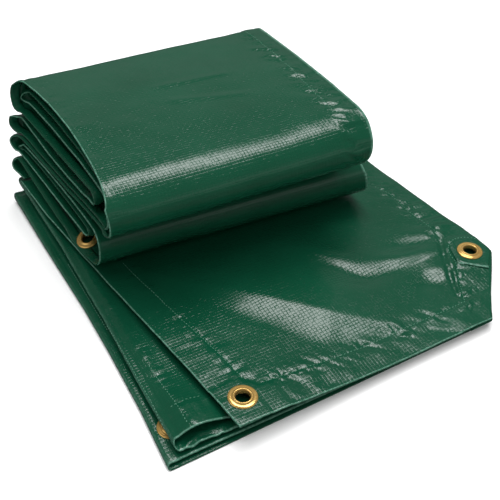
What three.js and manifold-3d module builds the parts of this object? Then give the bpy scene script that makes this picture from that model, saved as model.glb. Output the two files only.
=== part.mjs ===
// A coated tarpaulin, folded for the shelf. A thick stack of back-and-forth leaves lies on a wide base
// of layers that are folded lengthwise, and the base's top layer runs out in front as a flap with brass
// eyelets in its hem. Millimetres, +Z up: X runs along the leaves' folds, the flap points to -Y, and
// the lowest layer rests flat on Z = 0.

import * as THREE from 'three';
import { mergeVertices } from 'three/addons/utils/BufferGeometryUtils.js';
import Module from 'manifold-3d';

const solids = await Module();
solids.setup();

// Driving sizes
const clothThickness = 1.8;
const partingGap = 0.33;
const hemWidth = 37;
const centring = { x: 6.67, y: -3.8 };

const eyelet = {
  holeRadius: 6.5,
  barrelRadius: 7.5,
  flangeRadius: 12,
  flangeThickness: 1.1,
  clearance: 0.54,
  edgeRound: 0.3,
  lipRound: 1.3,
  drillHeight: 2.6,
  sides: 24,
};

// Small helpers
const table = (columns, rows) => rows.map(
  (row) => Object.fromEntries(columns.map((name, i) => [name, row[i]])),
);
const mix = (a, b, t) => a + (b - a) * t;
const clamp01 = (t) => Math.min(1, Math.max(0, t));
const smooth = (t) => clamp01(t) ** 2 * (3 - 2 * clamp01(t));
const steps = (count) => Array.from({ length: count + 1 }, (unused, i) => i / count);

// A smooth curve through a value at each end and one at the middle, t from 0 to 1
const throughThree = (first, middle, last, t) => (
  first * (1 - t) * (1 - 2 * t) + 4 * middle * t * (1 - t) + last * t * (2 * t - 1)
);

// A value read between the rows of a table with the columns at and value
function readRow(rows, at) {
  const last = rows.length - 1;
  if (at <= rows[0].at) return rows[0].value;
  if (at >= rows[last].at) return rows[last].value;
  const i = rows.findIndex((row) => row.at > at) - 1;
  return mix(rows[i].value, rows[i + 1].value, (at - rows[i].at) / (rows[i + 1].at - rows[i].at));
}

// The stack: one row for each leaf, in the order in which the cloth runs from its tucked end. It has
// the leaf's height at its front, middle and back, where its straight run ends in Y, how far its left
// edge is drawn in, how far the bend to the next leaf stands out past the straight run, and how far
// that bend flares out at the stack's left end.
const leaves = table(
  ['name', 'zFront', 'zMiddle', 'zBack', 'yFront', 'yBack', 'drawnIn', 'bulge', 'flare'],
  [
    ['tuckedEnd', 125, 122, 124, 8, 180, 3, 6, 5],
    ['innerRoof', 119, 111.5, 113, -6, 180, 3, 16, 0],
    ['hollowFloor', 90.5, 76, 78.5, -2, 187, 2, 12, 7],
    ['nestedLower', 93.5, 85, 95, 30, 187, 1, 12, 0],
    ['nestedUpper', 107, 98.5, 101, 25, 186, 0, 15, 5],
    ['topFace', 131.5, 134, 132.5, -12, 186, 0, 21, 0],
    ['rollFloor', 86.5, 71.5, 74, -6, 188, 1, 11, 5],
    ['lowerInner', 48, 50, 58, 45, 188, 1, 8, 0],
    ['lowerNested', 58, 60.5, 64, 41, 180, 2, 4, 3],
    ['lowerRoof', 68, 67, 69, 28, 180, 1, 19, 0],
    ['lowerFloor', 25, 34.5, 51, 43, 186, 0, 10, 2],
    ['flapRoot', 33.8, 33.8, 34, 172, 186, 0, 0, 0],
  ],
);
const lowerFloorIndex = leaves.findIndex((leaf) => leaf.name === 'lowerFloor');
const leafSteps = 7;
const bendSteps = 8;

// The stack's two ends. The left one leans in from the back's foot to the top and is drawn in towards
// the middle, and the right one steps back slightly as it rises.
const stackHeight = 135;
const leftEndFoot = -191;
const leftEndLean = 0.237;
const leftEndFront = -163;
const leftEndFrontLean = 0.03;
const leftEndDrawn = 11;
const leftEndRoundness = 0.55;
const rightEndTop = 98;
const rightEndLean = 0.13;
const rightEndDrawn = 5;
const rightEndUndercut = 0.5;
const rollGap = { from: 66, to: 82 };
const endBack = 190;
const endFront = { top: -30, foot: 30 };
const foldSkewFrom = -155;
const skew = { back: -0.053, frontTop: -0.033, frontFoot: -0.12 };
const roofSag = 1.5;
const stackStations = [0, 0.12, 0.35, 0.6, 0.85, 1];

function forwardPart(y, z) {
  const front = mix(endFront.foot, endFront.top, z / stackHeight);
  return clamp01((endBack - y) / (endBack - front));
}

function leftEnd(y, z) {
  const forward = forwardPart(y, z);
  const back = leftEndFoot + leftEndLean * z;
  const front = leftEndFront + leftEndFrontLean * z;
  const drawn = leftEndDrawn * (z / stackHeight) * Math.sin(Math.PI * forward) ** leftEndRoundness;
  return mix(back, front, forward) + drawn;
}

// The top roll's right end is drawn in under its front bend
function rightEnd(y, z) {
  const below = stackHeight - z;
  const rolled = smooth((z - rollGap.from) / (rollGap.to - rollGap.from)) * forwardPart(y, z) ** 2;
  return rightEndTop - rightEndDrawn * rolled + (rightEndLean - rightEndUndercut * rolled) * below;
}

const backSkew = (x) => skew.back * (x - foldSkewFrom);

// The stack's section: the middle line of the cloth, leaf after leaf, as points y and z, with how far
// the left edge is drawn in or flares out there
function stackSection() {
  const line = [];
  leaves.forEach((leaf, index) => {
    const toBack = index % 2 === 0;
    for (const t of steps(leafSteps)) {
      const s = toBack ? t : 1 - t;
      line.push({
        y: mix(leaf.yFront, leaf.yBack, s),
        z: throughThree(leaf.zFront, leaf.zMiddle, leaf.zBack, s),
        drawnIn: leaf.drawnIn,
        flare: 0,
      });
    }
    const next = leaves[index + 1];
    if (!next) return;
    const from = toBack ? [leaf.yBack, leaf.zBack] : [leaf.yFront, leaf.zFront];
    const to = toBack ? [next.yBack, next.zBack] : [next.yFront, next.zFront];
    for (const t of steps(bendSteps).slice(1, -1)) {
      line.push({
        y: mix(from[0], to[0], t) + (toBack ? 1 : -1) * leaf.bulge * Math.sin(Math.PI * t),
        z: mix(from[1], to[1], (1 - Math.cos(Math.PI * t)) / 2),
        drawnIn: mix(leaf.drawnIn, next.drawnIn, t),
        flare: leaf.flare * Math.sin(Math.PI * t),
      });
    }
  });
  return line;
}

function stackPoint(point, across) {
  const left = leftEnd(point.y, point.z) + point.drawnIn - point.flare;
  const x = mix(left, rightEnd(point.y, point.z), across);
  const forward = forwardPart(point.y, point.z);
  const frontSkew = mix(skew.frontFoot, skew.frontTop, point.z / stackHeight);
  const shift = mix(skew.back, frontSkew, forward) * (x - foldSkewFrom);
  const sag = roofSag * (point.z / stackHeight) * forward * Math.sin(Math.PI * across);
  return new THREE.Vector3(x, point.y + shift, point.z - sag);
}

// The base: one row for each layer from the floor up, with its height at the front corners, halfway
// back and at the back, and where its front edge lies
const baseLayers = table(
  ['name', 'zFrontLeft', 'zFrontRight', 'zMiddleLeft', 'zMiddleRight', 'zBack', 'yFrontLeft', 'yFrontRight'],
  [
    ['floorLayer', 0.9, 0.9, 0.9, 0.9, 0.9, -190, -190],
    ['floorRoof', 4.75, 3.3, 4.4, 4, 11, -187, -190],
    ['tubeFloor', 8.7, 5.7, 8.4, 7, 19, -184, -190],
    ['tubeRoof', 11.4, 8.1, 12.4, 10, 28, -176, -186],
    ['flap', 21, 10.8, 18.5, 14.5, 34, -195, -195],
  ],
);
const [floorIndex, floorRoofIndex, tubeFloorIndex, tubeRoofIndex, flapIndex] = baseLayers.keys();
const baseBack = 186;
const baseMiddle = 20;
const layerSteps = [5, 5, 6, 12, 14];
const foldSteps = 5;
const baseStations = [0, 0.025, 0.06, 0.1, 0.158, 0.235, 0.28, 0.34, 0.45, 0.58, 0.71, 0.84, 1];

// Edges of the base, read along Y: the left folds, the flap's free left edge and the right folds,
// which are cut off at the front corner
const floorLeft = table(
  ['at', 'value'],
  [[-190, -187.5], [-130, -184], [-60, -182.5], [0, -182.5], [90, -185.5], [190, -188]],
);
const tubeLeft = table(['at', 'value'], [[-190, -175], [-130, -174], [-30, -173], [80, -174], [190, -180]]);
const flapLeft = table(
  ['at', 'value'],
  [[-198, -132], [-125, -140], [-53, -150], [32, -162], [120, -176], [190, -184]],
);
const rightEdge = table(
  ['at', 'value'],
  [[-195, 119], [-186, 126], [-128, 177], [-81, 175], [-34, 171], [45, 163], [190, 148]],
);
const foldBulge = 2;
const floorInset = 5;

// Where the tube's roof is lifted at its open mouth, and where the flap is lifted round its eyelets
const mouthLift = { x: -156, width: 22, height: 9.5, depth: 90 };
const cornerLift = { x: 157, y: -120, radius: 44, height: 2.6 };
const flapRidge = { fromX: -150, toX: 130, fromY: 10, toY: -130, height: 2.6, width: 26 };

function baseY(layer, across, depth, x) {
  const front = mix(layer.yFrontLeft, layer.yFrontRight, across);
  return mix(front, baseBack + backSkew(x), depth);
}

function ridgeHeight(x, y) {
  const along = clamp01((x - flapRidge.fromX) / (flapRidge.toX - flapRidge.fromX));
  const off = (y - mix(flapRidge.fromY, flapRidge.toY, along)) / flapRidge.width;
  return flapRidge.height * Math.exp(-off * off) * Math.sin(Math.PI * along);
}

function baseZ(layer, across, x, y) {
  const frontZ = mix(layer.zFrontLeft, layer.zFrontRight, smooth(across * 1.6));
  const middleZ = mix(layer.zMiddleLeft, layer.zMiddleRight, across);
  const backward = clamp01((y - layer.yFrontLeft) / (baseMiddle - layer.yFrontLeft));
  const towardsBack = clamp01((y - baseMiddle) / (baseBack - baseMiddle));
  const plain = mix(mix(frontZ, middleZ, smooth(backward)), layer.zBack, towardsBack ** 1.6);
  const fromFront = clamp01((y + 190) / mouthLift.depth);
  if (layer.name === 'tubeRoof') {
    const off = (x - mouthLift.x) / mouthLift.width;
    return plain + mouthLift.height * Math.exp(-off * off) * (1 - smooth(fromFront));
  }
  if (layer.name === 'flap') {
    const away = Math.hypot(x - cornerLift.x, y - cornerLift.y) / cornerLift.radius;
    return plain + cornerLift.height * Math.exp(-(away ** 4)) + ridgeHeight(x, y);
  }
  return plain;
}

function layerLeft(index, y) {
  if (index === flapIndex) return readRow(flapLeft, y);
  return readRow(index <= floorRoofIndex ? floorLeft : tubeLeft, y);
}

const layerRight = (index, y) => readRow(rightEdge, y) - (index === floorIndex ? floorInset : foldBulge);

// A point of one base layer, across from 0 at its left edge to 1 at its right one, and depth from 0
// at its front edge to 1 at its back
function basePoint(index, across, depth) {
  const layer = baseLayers[index];
  const roughY = mix(mix(layer.yFrontLeft, layer.yFrontRight, across), baseBack, depth);
  const x = mix(layerLeft(index, roughY), layerRight(index, roughY), across);
  const y = baseY(layer, across, depth, x);
  return new THREE.Vector3(x, y, baseZ(layer, across, x, y));
}

// The base's section at one depth: five layers that go back and forth in X, from the floor layer's
// free right edge to the flap's free left edge. The flap's hem is a piece of its own.
function baseLine(depth) {
  const line = [];
  const depthOf = (index) => (index === flapIndex ? mix(hemDepth, 1, depth) : depth);
  baseLayers.forEach((layer, index) => {
    const toRight = index % 2 === 1;
    for (const t of steps(layerSteps[index])) {
      line.push(basePoint(index, toRight ? t : 1 - t, depthOf(index)));
    }
    if (index === flapIndex) return;
    const side = toRight ? 1 : 0;
    const from = basePoint(index, side, depthOf(index));
    const to = basePoint(index + 1, side, depthOf(index + 1));
    for (const t of steps(foldSteps).slice(1, -1)) {
      const point = from.clone().lerp(to, t);
      point.z = mix(from.z, to.z, (1 - Math.cos(Math.PI * t)) / 2);
      point.x += (toRight ? 1 : -1) * foldBulge * Math.sin(Math.PI * t);
      line.push(point);
    }
  });
  return line;
}

// A sheet of cloth through rows of points: every row is offset to both sides of the cloth's middle,
// the rows are joined, and the rim is closed. The side that is out is found from the volume's sign.
function sheetSolid(rows, axis) {
  const count = rows[0].length;
  const half = clothThickness / 2;
  const positions = [];
  for (const row of rows) {
    const normals = row.map((point, i) => {
      const before = row[Math.max(0, i - 1)];
      const after = row[Math.min(count - 1, i + 1)];
      return new THREE.Vector3().subVectors(after, before).cross(axis).normalize();
    });
    for (const side of [1, -1]) {
      row.forEach((point, i) => {
        const moved = point.clone().addScaledVector(normals[i], side * half);
        positions.push(moved.x, moved.y, moved.z);
      });
    }
  }
  const at = (row, side, i) => (row * 2 + side) * count + i;
  const faces = [];
  const quad = (a, b, c, d) => faces.push(a, b, c, a, c, d);
  for (let r = 0; r < rows.length - 1; r += 1) {
    for (let i = 0; i < count - 1; i += 1) {
      quad(at(r, 0, i), at(r, 0, i + 1), at(r + 1, 0, i + 1), at(r + 1, 0, i));
      quad(at(r, 1, i + 1), at(r, 1, i), at(r + 1, 1, i), at(r + 1, 1, i + 1));
    }
    quad(at(r, 1, 0), at(r, 0, 0), at(r + 1, 0, 0), at(r + 1, 1, 0));
    quad(at(r, 0, count - 1), at(r, 1, count - 1), at(r + 1, 1, count - 1), at(r + 1, 0, count - 1));
  }
  const last = rows.length - 1;
  for (let i = 0; i < count - 1; i += 1) {
    quad(at(0, 0, i + 1), at(0, 0, i), at(0, 1, i), at(0, 1, i + 1));
    quad(at(last, 0, i), at(last, 0, i + 1), at(last, 1, i + 1), at(last, 1, i));
  }
  return toSolid(positions, faces);
}

function signedVolume(positions, faces) {
  const corner = (i) => new THREE.Vector3().fromArray(positions, faces[i] * 3);
  let volume = 0;
  for (let i = 0; i < faces.length; i += 3) {
    volume += corner(i).dot(corner(i + 1).cross(corner(i + 2)));
  }
  return volume;
}

function toSolid(positions, faces) {
  const ordered = signedVolume(positions, faces) > 0 ? faces : faces.slice().reverse();
  return new solids.Manifold(new solids.Mesh({
    numProp: 3,
    vertProperties: new Float32Array(positions),
    triVerts: new Uint32Array(ordered),
  }));
}

// A closed three.js geometry as a solid
function geometrySolid(geometry) {
  const bare = geometry.clone();
  bare.deleteAttribute('normal');
  bare.deleteAttribute('uv');
  const merged = mergeVertices(bare, 1e-4);
  return toSolid(Array.from(merged.attributes.position.array), Array.from(merged.index.array));
}

function solidGeometry(solid) {
  const mesh = solid.getMesh();
  const geometry = new THREE.BufferGeometry();
  geometry.setAttribute('position', new THREE.BufferAttribute(new Float32Array(mesh.vertProperties), 3));
  geometry.setIndex(new THREE.BufferAttribute(new Uint32Array(mesh.triVerts), 1));
  return geometry;
}

// The stack and its joint to the base
function stackSolid() {
  const section = stackSection();
  const rows = stackStations.map((across) => section.map((point) => stackPoint(point, across)));
  return sheetSolid(rows, new THREE.Vector3(1, 0, 0));
}

// A bend behind the base that joins the back edges of two of its layers
const backBends = table(
  ['upper', 'lower', 'bulge'],
  [[tubeRoofIndex, floorIndex, 13], [tubeFloorIndex, floorRoofIndex, 4]],
);
const backOverlap = 0.02;
const backStations = 4;

function backBend({ upper: upperIndex, lower: lowerIndex, bulge }) {
  const rows = steps(backStations).map((across) => {
    const upper = basePoint(upperIndex, across, 1 - backOverlap);
    const lower = basePoint(lowerIndex, across, 1 - backOverlap);
    const upperEnd = basePoint(upperIndex, across, 1);
    const lowerEnd = basePoint(lowerIndex, across, 1);
    const bend = steps(bendSteps).map((t) => new THREE.Vector3(
      mix(upperEnd.x, lowerEnd.x, t),
      mix(upperEnd.y, lowerEnd.y, t) + bulge * Math.sin(Math.PI * t),
      mix(upperEnd.z, lowerEnd.z, (1 - Math.cos(Math.PI * t)) / 2),
    ));
    return [upper, ...bend, lower];
  });
  return sheetSolid(rows, new THREE.Vector3(1, 0, 0));
}

// How far back the hem strip reaches on the flap, as a depth from 0 to 1
const flapDepth = baseBack - baseLayers[flapIndex].yFrontLeft;
const hemDepth = (hemWidth + partingGap) / flapDepth;
const hemInset = 0.004;
const hemRows = 3;
const hemSteps = 18;

function baseSolid() {
  const rows = baseStations.map((depth) => baseLine(depth));
  return sheetSolid(rows, new THREE.Vector3(0, 1, 0));
}

// The hem strip along the flap's front edge
function hemSolid() {
  const rows = steps(hemRows).map((part) => steps(hemSteps).map(
    (across) => basePoint(flapIndex, across * (1 - hemInset), part * hemWidth / flapDepth),
  ));
  return sheetSolid(rows, new THREE.Vector3(0, 1, 0));
}

// An upright prism over an outline in X and Y
function prismSolid(outline, bottom, top) {
  const shape = new THREE.Shape(outline.map(([x, y]) => new THREE.Vector2(x, y)));
  const geometry = new THREE.ExtrudeGeometry(shape, { depth: top - bottom, bevelEnabled: false });
  geometry.translate(0, 0, bottom);
  return geometrySolid(geometry);
}

// The corner tab: the piece of the flap's raised right corner that holds the second eyelet
const tabOutline = [[140, -131], [160.5, -141], [169.5, -131], [168, -84], [149, -101]];
const tabCutBottom = 12.3;
const tabCutTop = 40;

// An anticlockwise outline with every edge moved out by one distance
function grownOutline(outline, distance) {
  const edges = outline.map(([x, y], i) => {
    const [nextX, nextY] = outline[(i + 1) % outline.length];
    const length = Math.hypot(nextX - x, nextY - y);
    const out = { x: (nextY - y) / length, y: (x - nextX) / length };
    return { out, reach: out.x * x + out.y * y + distance };
  });
  return edges.map((after, i) => {
    const before = edges.at(i - 1);
    const turn = before.out.x * after.out.y - before.out.y * after.out.x;
    return [
      (before.reach * after.out.y - after.reach * before.out.y) / turn,
      (before.out.x * after.reach - after.out.x * before.reach) / turn,
    ];
  });
}

// A point of one stack leaf, across from its left end and forward to back
function leafPoint(index, across, depth) {
  const leaf = leaves[index];
  return stackPoint({
    y: mix(leaf.yFront, leaf.yBack, depth),
    z: throughThree(leaf.zFront, leaf.zMiddle, leaf.zBack, depth),
    drawnIn: leaf.drawnIn,
    flare: 0,
  }, across);
}

// Eyelets: the sheet that each one pierces, and how far its centre is from the sheet's side edge, the
// left one or, where the figure is negative, the right one, and from the sheet's front edge
const flapSheet = (across, depth) => basePoint(flapIndex, across, depth);
const floorRoofSheet = (across, depth) => basePoint(floorRoofIndex, across, depth);
const lowerFloorSheet = (across, depth) => leafPoint(lowerFloorIndex, across, depth);
const eyelets = table(
  ['name', 'sheet', 'fromSide', 'fromFront'],
  [
    ['eyelet_flap_corner', flapSheet, 18, 23],
    ['eyelet_corner_tab', flapSheet, -17.5, 76.5],
    ['eyelet_floor_corner', floorRoofSheet, 14, 29],
    ['eyelet_stack_edge', lowerFloorSheet, 13, 20],
  ],
);

// The placement of an eyelet: its centre on the cloth's middle, and its axis square to the cloth
function eyeletPlace({ sheet, fromSide, fromFront }) {
  const reach = eyelet.barrelRadius + eyelet.lipRound;
  const length = sheet(0.5, 0).distanceTo(sheet(0.5, 1));
  const depth = fromFront / length;
  const width = sheet(0, depth).distanceTo(sheet(1, depth));
  const across = (fromSide < 0 ? width + fromSide : fromSide) / width;
  const [left, right] = [-reach, reach].map((d) => sheet(across + d / width, depth));
  const [front, back] = [-reach, reach].map((d) => sheet(across, depth + d / length));
  const centre = [left, right, front, back]
    .reduce((sum, point) => sum.add(point), new THREE.Vector3())
    .divideScalar(4);
  const axis = right.sub(left).cross(back.sub(front)).normalize();
  const turn = new THREE.Quaternion().setFromUnitVectors(new THREE.Vector3(0, 0, 1), axis);
  return new THREE.Matrix4().compose(centre, turn, new THREE.Vector3(1, 1, 1));
}

// A closed ring profile turned about Z, from rows of radius and height
function turned(profile) {
  const points = [...profile, profile[0]].map(([radius, z]) => new THREE.Vector2(radius, z));
  const geometry = new THREE.LatheGeometry(points, eyelet.sides);
  return geometry.rotateX(Math.PI / 2);
}

// The brass ring grips the cloth between two rolled flanges on one barrel
function eyeletGeometry() {
  const grip = clothThickness / 2 + eyelet.clearance;
  const face = grip + eyelet.flangeThickness;
  const inner = eyelet.holeRadius;
  const outer = eyelet.flangeRadius;
  return turned([
    [inner, eyelet.lipRound - face],
    [inner + eyelet.lipRound, -face],
    [outer - eyelet.lipRound, -face],
    [outer, -grip - eyelet.edgeRound],
    [outer - eyelet.edgeRound, -grip],
    [eyelet.barrelRadius, -grip],
    [eyelet.barrelRadius, grip],
    [outer - eyelet.edgeRound, grip],
    [outer, grip + eyelet.edgeRound],
    [outer - eyelet.lipRound, face],
    [inner + eyelet.lipRound, face],
    [inner, face - eyelet.lipRound],
  ]);
}

function eyeletHole(row) {
  const radius = eyelet.barrelRadius + eyelet.clearance;
  const drill = new THREE.CylinderGeometry(radius, radius, eyelet.drillHeight, eyelet.sides);
  drill.rotateX(Math.PI / 2);
  return geometrySolid(drill.applyMatrix4(eyeletPlace(row)));
}

const clothMaterial = () => new THREE.MeshStandardMaterial({ color: 0x1d5038, roughness: 0.35, metalness: 0 });
const brassMaterial = () => new THREE.MeshStandardMaterial({ color: 0xc79a4a, roughness: 0.25, metalness: 1 });

const tarp = new THREE.Group();

function addPiece(name, geometry, material) {
  const flat = geometry.index ? geometry.toNonIndexed() : geometry;
  flat.deleteAttribute('normal');
  flat.deleteAttribute('uv');
  const merged = mergeVertices(flat, 1e-4);
  merged.computeVertexNormals();
  const mesh = new THREE.Mesh(merged, material);
  mesh.name = name;
  tarp.add(mesh);
}

const [flapEyelet, tabEyelet, floorEyelet, stackEyelet] = eyelets;
const folded = backBends.reduce((solid, row) => solid.add(backBend(row)), baseSolid().add(stackSolid()));
const tabCut = prismSolid(grownOutline(tabOutline, partingGap), tabCutBottom, tabCutTop);
const tab = prismSolid(tabOutline, tabCutBottom, tabCutTop);

addPiece(
  'tarp_cloth',
  solidGeometry(
    folded.subtract(tabCut).subtract(eyeletHole(floorEyelet)).subtract(eyeletHole(stackEyelet)),
  ),
  clothMaterial(),
);
addPiece('flap_hem_strip', solidGeometry(hemSolid().subtract(eyeletHole(flapEyelet))), clothMaterial());
addPiece(
  'corner_tab',
  solidGeometry(folded.intersect(tab).subtract(eyeletHole(tabEyelet))),
  clothMaterial(),
);
for (const row of eyelets) {
  addPiece(row.name, eyeletGeometry().applyMatrix4(eyeletPlace(row)), brassMaterial());
}

tarp.position.set(centring.x, centring.y, 0);

export default tarp;
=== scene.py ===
import math

import bmesh
import bpy
from mathutils import Matrix, Vector, noise
from mathutils.bvhtree import BVHTree


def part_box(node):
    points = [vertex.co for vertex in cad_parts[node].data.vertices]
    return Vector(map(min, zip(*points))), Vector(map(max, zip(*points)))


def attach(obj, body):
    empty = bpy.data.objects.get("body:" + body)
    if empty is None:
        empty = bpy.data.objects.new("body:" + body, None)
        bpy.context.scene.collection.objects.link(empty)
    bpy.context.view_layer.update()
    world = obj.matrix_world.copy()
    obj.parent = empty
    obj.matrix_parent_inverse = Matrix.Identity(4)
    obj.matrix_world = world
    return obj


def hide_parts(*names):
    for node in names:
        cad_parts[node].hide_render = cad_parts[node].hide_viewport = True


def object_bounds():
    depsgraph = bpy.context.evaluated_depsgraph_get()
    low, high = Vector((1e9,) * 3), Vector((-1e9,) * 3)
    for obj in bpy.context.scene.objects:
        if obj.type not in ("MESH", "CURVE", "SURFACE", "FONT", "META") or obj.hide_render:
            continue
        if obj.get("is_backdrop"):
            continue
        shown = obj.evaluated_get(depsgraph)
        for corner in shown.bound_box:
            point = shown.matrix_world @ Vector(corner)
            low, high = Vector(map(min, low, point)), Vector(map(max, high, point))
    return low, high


# A green coated tarp, folded for the shelf: a stack of leaves on a wide folded base, with the base's
# top layer out in front as a flap with brass eyelets. Sizes are in mm until a mesh is written.

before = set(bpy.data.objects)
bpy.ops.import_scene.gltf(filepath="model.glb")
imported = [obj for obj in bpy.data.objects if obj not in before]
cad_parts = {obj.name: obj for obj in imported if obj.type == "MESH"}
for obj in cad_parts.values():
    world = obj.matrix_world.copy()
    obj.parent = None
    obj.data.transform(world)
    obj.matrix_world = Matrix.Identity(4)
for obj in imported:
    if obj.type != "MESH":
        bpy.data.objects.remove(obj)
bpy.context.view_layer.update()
print("frame loaded")

cloth = dict(
    mm=0.001,
    centre=(6.67, -3.8),   # the folds are measured from the stack, the part's frame is centred
    thickness=0.8,
    hemTurn=0.44,          # half the distance between the two layers of a turned hem
    hemWidth=27,
    eyeletCut=8.4,         # radius of the hole in the cloth for an eyelet
    rayFrom=300,           # a height above all the cloth
)
# the middles of the eyelets
eyeletAt = dict(flapCorner=(-116.9, -171.7), cornerTab=(157.0, -120.6),
                floorCorner=(-171.5, -157.6), stackEdge=(-153.2, 61.7))


def mix(a, b, t):
    return a + (b - a) * t


def clamp01(t):
    return min(1.0, max(0.0, t))


def smooth(t):
    t = clamp01(t)
    return t * t * (3 - 2 * t)


def hump(off, width):
    return math.exp(-(off / width) ** 2)


def wave(a, b, seed):
    return noise.noise(Vector((a, b, seed * 3.7)))


def crease(a, b, seed):  # sharp ridges with soft hollows between them
    return max(-1.0, 1 - 3.2 * abs(noise.noise(Vector((a, b, seed * 5.3)))))


def ripples(rows, a, b):  # each row is wave or crease, a height, its lengths along a and b, and a seed
    return sum(height * kind(a / lengthA, b / lengthB, seed) for kind, height, lengthA, lengthB, seed in rows)


def throughThree(first, middle, last, t):
    return first * (1 - t) * (1 - 2 * t) + 4 * middle * t * (1 - t) + last * t * (2 * t - 1)


def readRow(rows, at):
    if at <= rows[0][0]:
        return rows[0][1]
    for (a, low), (b, high) in zip(rows, rows[1:]):
        if at <= b:
            return mix(low, high, (at - a) / (b - a))
    return rows[-1][1]


def spaced(*stretches):  # each stretch is start, stop, step, and the next one goes on from its stop
    found = []
    for start, stop, step in stretches:
        count = max(1, round(abs(stop - start) / step))
        found += [mix(start, stop, i / count) for i in range(count)]
    return found + [stretches[-1][1]]


def turnedSpots(under):  # distances along a hem, from its under layer round the turn to the edge
    turn = math.pi * cloth["hemTurn"]
    return spaced((-turn - under, -turn, 3), (-turn, 0, turn / 4))[:-1]


def turnedEdge(d, width):  # how far in from the edge a hem's cloth lies at a distance along it, and how high
    r = cloth["hemTurn"]
    if d >= 0:
        past = smooth((d - width) / 2)
        return d + r, r * (1 - past)
    if d > -math.pi * r:
        return r - r * math.sin(-d / r), r * math.cos(-d / r)
    return r - d - math.pi * r, -r


def rimOf(d, reach=0.6):  # 1 on top of a hem's turn, where a pale line is painted as a highlight
    return 1 - smooth(d / reach) if d >= 0 else 1 - smooth(-d / (0.6 * math.pi * cloth["hemTurn"]))


def acrossSheet(c, nominal, left, right, kept=44):  # both margins keep their widths, the middle stretches
    if c <= kept:
        return left + c
    if c >= nominal - kept:
        return right - (nominal - c)
    return mix(left + kept, right - kept, (c - kept) / (nominal - 2 * kept))


def nearLine(line, x, y):  # signed distance from a line of points, left of it positive, and how far along
    best, along, side, run = 1e9, 0, 1, 0
    for (ax, ay), (bx, by) in zip(line, line[1:]):
        dx, dy = bx - ax, by - ay
        length = math.hypot(dx, dy)
        t = clamp01(((x - ax) * dx + (y - ay) * dy) / length ** 2)
        away = math.hypot(x - ax - t * dx, y - ay - t * dy)
        if away < best:
            best, along = away, run + t * length
            side = 1 if dx * (y - ay) - dy * (x - ax) > 0 else -1
        run += length
    return best * side, along


def facet(x, y, spots):  # soft dents that each face one way, as flat places between wrinkles do
    height = 0
    for middleX, middleY, halfLength, halfWidth, heading, tilt, facing in spots:
        dx, dy = x - middleX, y - middleY
        if abs(dx) + abs(dy) > 4 * halfLength:
            continue
        along = dx * math.cos(math.radians(heading)) + dy * math.sin(math.radians(heading))
        off = dy * math.cos(math.radians(heading)) - dx * math.sin(math.radians(heading))
        down = dx * math.sin(math.radians(facing)) + dy * math.cos(math.radians(facing))
        height -= math.tan(math.radians(tilt)) * down * hump(along, halfLength) * hump(off, halfWidth)
    return height


def addMaterial(piece, material):
    piece.data.materials.append(material)
    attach(piece, "root")


def meshObject(name, form, smoothFaces=True):
    mesh = bpy.data.meshes.new(name)
    for face in form.faces:
        face.smooth = smoothFaces
    form.to_mesh(mesh)
    form.free()
    piece = bpy.data.objects.new(name, mesh)
    bpy.context.collection.objects.link(piece)
    return piece


def onTable(x, y, z=0):
    return Vector((x + cloth["centre"][0], y + cloth["centre"][1], z)) * cloth["mm"]


def clothSheet(name, columns, rows, placeAt, holes=()):
    form = bmesh.new()
    bmesh.ops.create_grid(form, x_segments=len(columns) - 1, y_segments=len(rows) - 1, size=1)
    worked = form.verts.layers.float.new("worked")
    rim = form.verts.layers.float.new("rim")
    flat = {}
    for i, vert in enumerate(form.verts):
        point, spot, crinkleAndPaintedGlint, edge = placeAt(columns[i % len(columns)], rows[i // len(columns)])
        vert.co = onTable(point.x, point.y, point.z)
        # worked scales the crinkle bumps and the painted pale flecks, rim places the painted highlight along
        # the hems
        vert[worked] = clamp01(crinkleAndPaintedGlint)
        vert[rim] = clamp01(edge)
        flat[vert] = (spot[0] * cloth["mm"], spot[1] * cloth["mm"])
    uvLayer = form.loops.layers.uv.new("clothUV")
    for face in form.faces:
        for loop in face.loops:
            loop[uvLayer].uv = flat[loop.vert]
    inHole = []
    for at, low, high in holes:     # an eyelet's place, and the heights between which the cloth is cut
        middle = onTable(*at)
        for face in form.faces:
            spot = face.calc_center_median()
            near = (spot.xy - middle.xy).length < cloth["eyeletCut"] * cloth["mm"]
            if near and low < spot.z / cloth["mm"] < high:
                inHole.append(face)
    bmesh.ops.delete(form, geom=list(set(inHole)), context="FACES")
    piece = meshObject(name, form)
    solid = piece.modifiers.new("thickness", "SOLIDIFY")
    solid.thickness = cloth["thickness"] * cloth["mm"]
    solid.offset = 0
    return piece


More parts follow.
